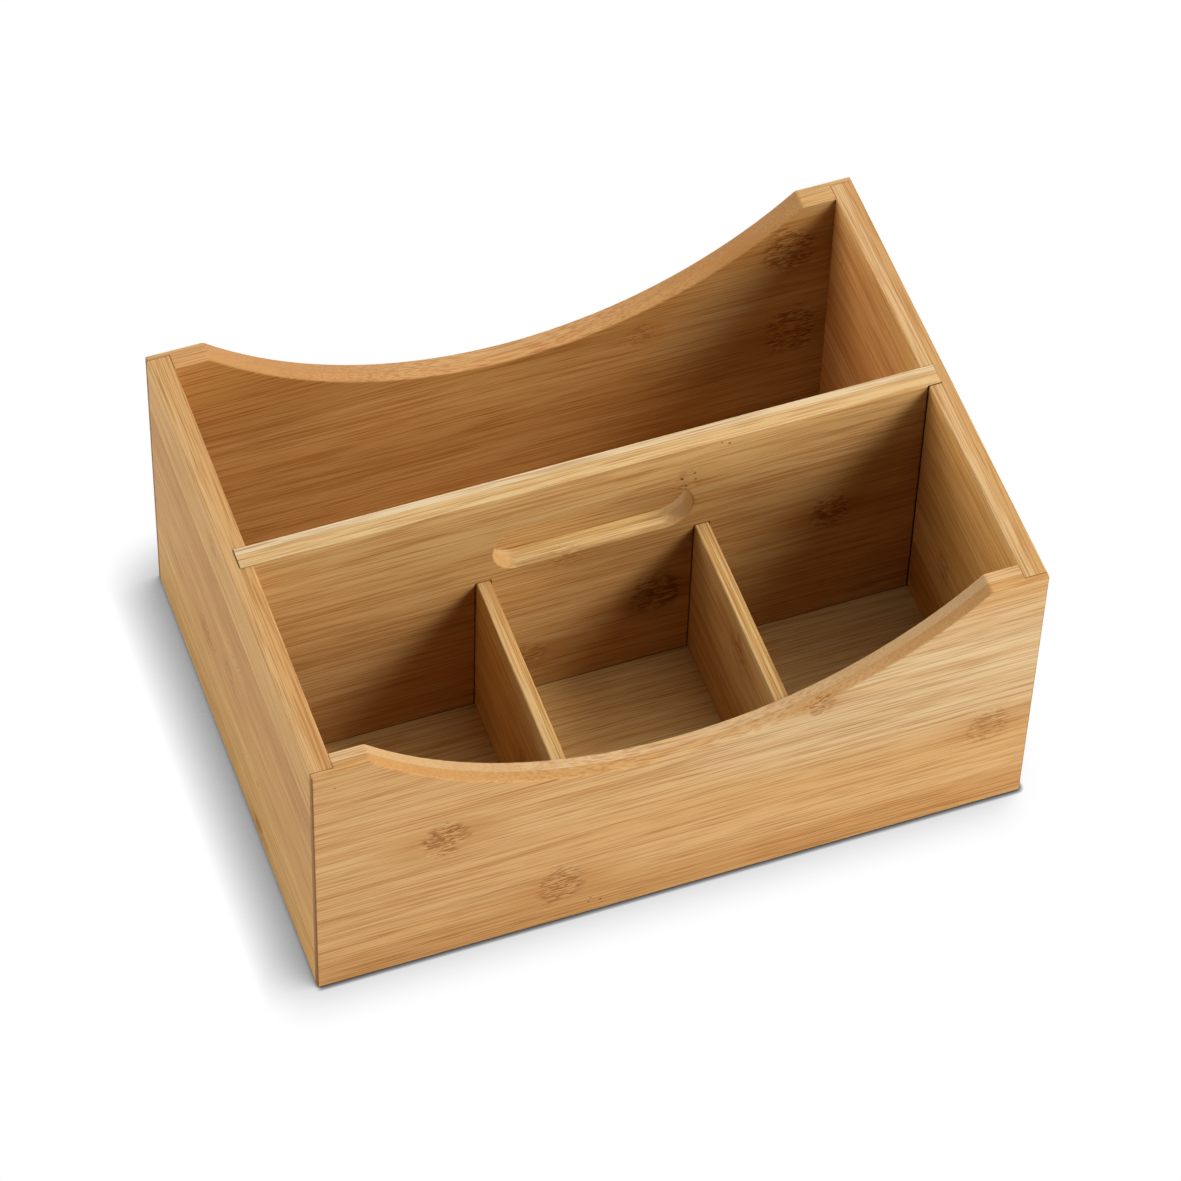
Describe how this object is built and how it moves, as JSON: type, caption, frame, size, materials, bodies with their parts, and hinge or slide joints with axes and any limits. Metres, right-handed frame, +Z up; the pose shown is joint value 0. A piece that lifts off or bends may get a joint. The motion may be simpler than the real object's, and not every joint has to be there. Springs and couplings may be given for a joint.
{
  "type": "desk organizer box",
  "caption": "Open bamboo desk organizer with dipped front and back rims, a middle divider cut with a hand slot as its handle, and small compartments in front.",
  "frame": {"origin": "middle of the underside, at the level of the surface that the box stands on", "axes": "+X to the right along the width, +Y to the back, +Z up; the front with the small compartments faces -Y"},
  "size_m": [0.25, 0.18, 0.1205],
  "materials": {
    "wall_bamboo": "satin lacquer over sanded laminated bamboo",
    "divider_bamboo": "satin lacquer over sanded laminated bamboo",
    "base_bamboo": "satin lacquer over sanded bamboo ply"
  },
  "bodies": {
    "root": {"front_panel": "wall_bamboo", "back_panel": "wall_bamboo", "left_side": "wall_bamboo", "right_side": "wall_bamboo", "base_panel": "base_bamboo", "handle_divider": "divider_bamboo", "small_divider_left": "divider_bamboo", "small_divider_right": "divider_bamboo"}
  },
  "joints": []
}
